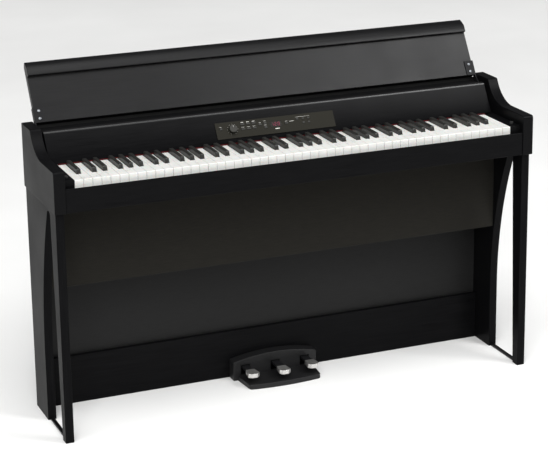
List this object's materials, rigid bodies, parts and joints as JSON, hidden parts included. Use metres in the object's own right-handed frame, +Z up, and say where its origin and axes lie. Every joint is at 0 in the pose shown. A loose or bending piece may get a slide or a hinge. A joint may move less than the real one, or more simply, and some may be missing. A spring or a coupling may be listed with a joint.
{
  "type": "digital piano on stand",
  "caption": "Full-length digital piano with weighted keys, folding lid, control panel and three pedals on a panelled stand with blade-shaped side openings.",
  "frame": {"origin": "middle of the footprint's box, on the floor", "axes": "+X along the keyboard from the low notes to the high notes, +Y from the player towards the wall, +Z up"},
  "size_m": [1.346, 0.3716, 0.9266],
  "materials": {
    "case_lacquer": "satin black lacquer on board",
    "inner_board": "matt black painted board",
    "back_board": "matt dark hardboard",
    "speaker_cloth": "woven black-brown cloth",
    "white_key": "semi-gloss moulded",
    "black_key": "matt moulded",
    "red_felt": "felt",
    "panel_plate": "satin moulded",
    "display_lens": "gloss tinted",
    "button_plastic": "satin moulded",
    "knob_plastic": "satin moulded",
    "housing_plastic": "satin moulded",
    "black_steel": "satin powder coat",
    "bright_steel": "zinc plated",
    "chrome_cap": "polished",
    "chassis_steel": "zinc plated sheet",
    "circuit": "solder mask",
    "driver_paper": "paper cone",
    "socket_plastic": "moulded",
    "bumper_rubber": "matt"
  },
  "bodies": {
    "case": {"cheek_left": "case_lacquer", "cheek_right": "case_lacquer", "side_board_left": "case_lacquer", "side_board_right": "case_lacquer", "foot_bars": "black_steel", "key_bed": "inner_board", "front_rail": "case_lacquer", "key_end_blocks": "case_lacquer", "key_felt_strip": "red_felt", "fascia": "case_lacquer", "control_panel": "panel_plate", "led_display": "display_lens", "top_shelf": "case_lacquer", "rear_cover": "back_board", "key_frame": "chassis_steel", "circuit_boards": "circuit", "rear_sockets": "socket_plastic", "speaker_box": "inner_board", "speaker_grille": "speaker_cloth", "speaker_drivers": "driver_paper", "back_panel": "back_board", "pedal_board": "case_lacquer", "pedal_housing": "housing_plastic", "pivot_pins": "bright_steel", "lid_bumpers": "bumper_rubber", "stand_screws": "bright_steel"},
    "lid": {"lid_panel": "case_lacquer", "lid_arms": "black_steel", "lid_screws": "bright_steel"},
    "keys_c": {"keys_c": "white_key"},
    "keys_d": {"keys_d": "white_key"},
    "keys_e": {"keys_e": "white_key"},
    "keys_f": {"keys_f": "white_key"},
    "keys_g": {"keys_g": "white_key"},
    "keys_a": {"keys_a": "white_key"},
    "keys_b": {"keys_b": "white_key"},
    "keys_c_sharp": {"keys_c_sharp": "black_key"},
    "keys_d_sharp": {"keys_d_sharp": "black_key"},
    "keys_f_sharp": {"keys_f_sharp": "black_key"},
    "keys_g_sharp": {"keys_g_sharp": "black_key"},
    "keys_a_sharp": {"keys_a_sharp": "black_key"},
    "pedal_soft": {"pedal_soft_lever": "black_steel", "pedal_soft_tip": "chrome_cap"},
    "pedal_sostenuto": {"pedal_sostenuto_lever": "black_steel", "pedal_sostenuto_tip": "chrome_cap"},
    "pedal_damper": {"pedal_damper_lever": "black_steel", "pedal_damper_tip": "chrome_cap"},
    "volume_knob": {"volume_knob": "knob_plastic"},
    "power_button": {"power_button": "button_plastic"},
    "sound_button_1": {"sound_button_1": "button_plastic"},
    "sound_button_4": {"sound_button_4": "button_plastic"},
    "sound_button_2": {"sound_button_2": "button_plastic"},
    "sound_button_5": {"sound_button_5": "button_plastic"},
    "sound_button_3": {"sound_button_3": "button_plastic"},
    "sound_button_6": {"sound_button_6": "button_plastic"},
    "bank_button": {"bank_button": "button_plastic"},
    "up_button": {"up_button": "button_plastic"},
    "down_button": {"down_button": "button_plastic"},
    "metronome_button": {"metronome_button": "button_plastic"},
    "song_buttons": {"song_buttons": "button_plastic"}
  },
  "joints": [
    {"name": "lid_swing", "type": "hinge", "parent": "case", "child": "lid", "pos_m": [0, 0.04822, 0.739], "axis": [1, 0, 0], "range_deg": [0, 131]},
    {"name": "keys_c_press", "type": "hinge", "parent": "case", "child": "keys_c", "pos_m": [0, 0.04622, 0.67], "axis": [1, 0, 0], "range_deg": [0, 2.7], "stiffness_Nm_per_rad": 5, "springref_deg": -20.63},
    {"name": "keys_d_press", "type": "hinge", "parent": "case", "child": "keys_d", "pos_m": [0, 0.04622, 0.67], "axis": [1, 0, 0], "range_deg": [0, 2.7], "stiffness_Nm_per_rad": 5, "springref_deg": -20.63},
    {"name": "keys_e_press", "type": "hinge", "parent": "case", "child": "keys_e", "pos_m": [0, 0.04622, 0.67], "axis": [1, 0, 0], "range_deg": [0, 2.7], "stiffness_Nm_per_rad": 5, "springref_deg": -20.63},
    {"name": "keys_f_press", "type": "hinge", "parent": "case", "child": "keys_f", "pos_m": [0, 0.04622, 0.67], "axis": [1, 0, 0], "range_deg": [0, 2.7], "stiffness_Nm_per_rad": 5, "springref_deg": -20.63},
    {"name": "keys_g_press", "type": "hinge", "parent": "case", "child": "keys_g", "pos_m": [0, 0.04622, 0.67], "axis": [1, 0, 0], "range_deg": [0, 2.7], "stiffness_Nm_per_rad": 5, "springref_deg": -20.63},
    {"name": "keys_a_press", "type": "hinge", "parent": "case", "child": "keys_a", "pos_m": [0, 0.04622, 0.67], "axis": [1, 0, 0], "range_deg": [0, 2.7], "stiffness_Nm_per_rad": 5, "springref_deg": -20.63},
    {"name": "keys_b_press", "type": "hinge", "parent": "case", "child": "keys_b", "pos_m": [0, 0.04622, 0.67], "axis": [1, 0, 0], "range_deg": [0, 2.7], "stiffness_Nm_per_rad": 5, "springref_deg": -20.63},
    {"name": "keys_c_sharp_press", "type": "hinge", "parent": "case", "child": "keys_c_sharp", "pos_m": [0, 0.04622, 0.67], "axis": [1, 0, 0], "range_deg": [0, 2.7], "stiffness_Nm_per_rad": 4, "springref_deg": -17.19},
    {"name": "keys_d_sharp_press", "type": "hinge", "parent": "case", "child": "keys_d_sharp", "pos_m": [0, 0.04622, 0.67], "axis": [1, 0, 0], "range_deg": [0, 2.7], "stiffness_Nm_per_rad": 4, "springref_deg": -17.19},
    {"name": "keys_f_sharp_press", "type": "hinge", "parent": "case", "child": "keys_f_sharp", "pos_m": [0, 0.04622, 0.67], "axis": [1, 0, 0], "range_deg": [0, 2.7], "stiffness_Nm_per_rad": 4, "springref_deg": -17.19},
    {"name": "keys_g_sharp_press", "type": "hinge", "parent": "case", "child": "keys_g_sharp", "pos_m": [0, 0.04622, 0.67], "axis": [1, 0, 0], "range_deg": [0, 2.7], "stiffness_Nm_per_rad": 4, "springref_deg": -17.19},
    {"name": "keys_a_sharp_press", "type": "hinge", "parent": "case", "child": "keys_a_sharp", "pos_m": [0, 0.04622, 0.67], "axis": [1, 0, 0], "range_deg": [0, 2.7], "stiffness_Nm_per_rad": 4, "springref_deg": -17.19},
    {"name": "pedal_soft_press", "type": "hinge", "parent": "case", "child": "pedal_soft", "pos_m": [-0.0885, 0.06422, 0.0375], "axis": [1, 0, 0], "range_deg": [0, 7], "stiffness_Nm_per_rad": 4, "springref_deg": -11.46},
    {"name": "pedal_sostenuto_press", "type": "hinge", "parent": "case", "child": "pedal_sostenuto", "pos_m": [0, 0.06422, 0.0375], "axis": [1, 0, 0], "range_deg": [0, 7], "stiffness_Nm_per_rad": 4, "springref_deg": -11.46},
    {"name": "pedal_damper_press", "type": "hinge", "parent": "case", "child": "pedal_damper", "pos_m": [0.0885, 0.06422, 0.0375], "axis": [1, 0, 0], "range_deg": [0, 7], "stiffness_Nm_per_rad": 4, "springref_deg": -11.46},
    {"name": "volume_turn", "type": "hinge", "parent": "case", "child": "volume_knob", "pos_m": [-0.129, 0.00042, 0.73159], "axis": [0, -0.8425, 0.5388], "range_deg": [-150, 150]},
    {"name": "power_button_push", "type": "slide", "parent": "case", "child": "power_button", "axis": [0, 0.8425, -0.5388], "range_m": [0, 0.0008], "stiffness_N_per_m": 400, "springref_m": -0.001},
    {"name": "sound_button_1_push", "type": "slide", "parent": "case", "child": "sound_button_1", "axis": [0, 0.8425, -0.5388], "range_m": [0, 0.0008], "stiffness_N_per_m": 400, "springref_m": -0.001},
    {"name": "sound_button_4_push", "type": "slide", "parent": "case", "child": "sound_button_4", "axis": [0, 0.8425, -0.5388], "range_m": [0, 0.0008], "stiffness_N_per_m": 400, "springref_m": -0.001},
    {"name": "sound_button_2_push", "type": "slide", "parent": "case", "child": "sound_button_2", "axis": [0, 0.8425, -0.5388], "range_m": [0, 0.0008], "stiffness_N_per_m": 400, "springref_m": -0.001},
    {"name": "sound_button_5_push", "type": "slide", "parent": "case", "child": "sound_button_5", "axis": [0, 0.8425, -0.5388], "range_m": [0, 0.0008], "stiffness_N_per_m": 400, "springref_m": -0.001},
    {"name": "sound_button_3_push", "type": "slide", "parent": "case", "child": "sound_button_3", "axis": [0, 0.8425, -0.5388], "range_m": [0, 0.0008], "stiffness_N_per_m": 400, "springref_m": -0.001},
    {"name": "sound_button_6_push", "type": "slide", "parent": "case", "child": "sound_button_6", "axis": [0, 0.8425, -0.5388], "range_m": [0, 0.0008], "stiffness_N_per_m": 400, "springref_m": -0.001},
    {"name": "bank_button_push", "type": "slide", "parent": "case", "child": "bank_button", "axis": [0, 0.8425, -0.5388], "range_m": [0, 0.0008], "stiffness_N_per_m": 400, "springref_m": -0.001},
    {"name": "up_button_push", "type": "slide", "parent": "case", "child": "up_button", "axis": [0, 0.8425, -0.5388], "range_m": [0, 0.0008], "stiffness_N_per_m": 400, "springref_m": -0.001},
    {"name": "down_button_push", "type": "slide", "parent": "case", "child": "down_button", "axis": [0, 0.8425, -0.5388], "range_m": [0, 0.0008], "stiffness_N_per_m": 400, "springref_m": -0.001},
    {"name": "metronome_button_push", "type": "slide", "parent": "case", "child": "metronome_button", "axis": [0, 0.8425, -0.5388], "range_m": [0, 0.0008], "stiffness_N_per_m": 400, "springref_m": -0.001},
    {"name": "song_buttons_push", "type": "slide", "parent": "case", "child": "song_buttons", "axis": [0, 0.8425, -0.5388], "range_m": [0, 0.0008], "stiffness_N_per_m": 400, "springref_m": -0.001}
  ]
}
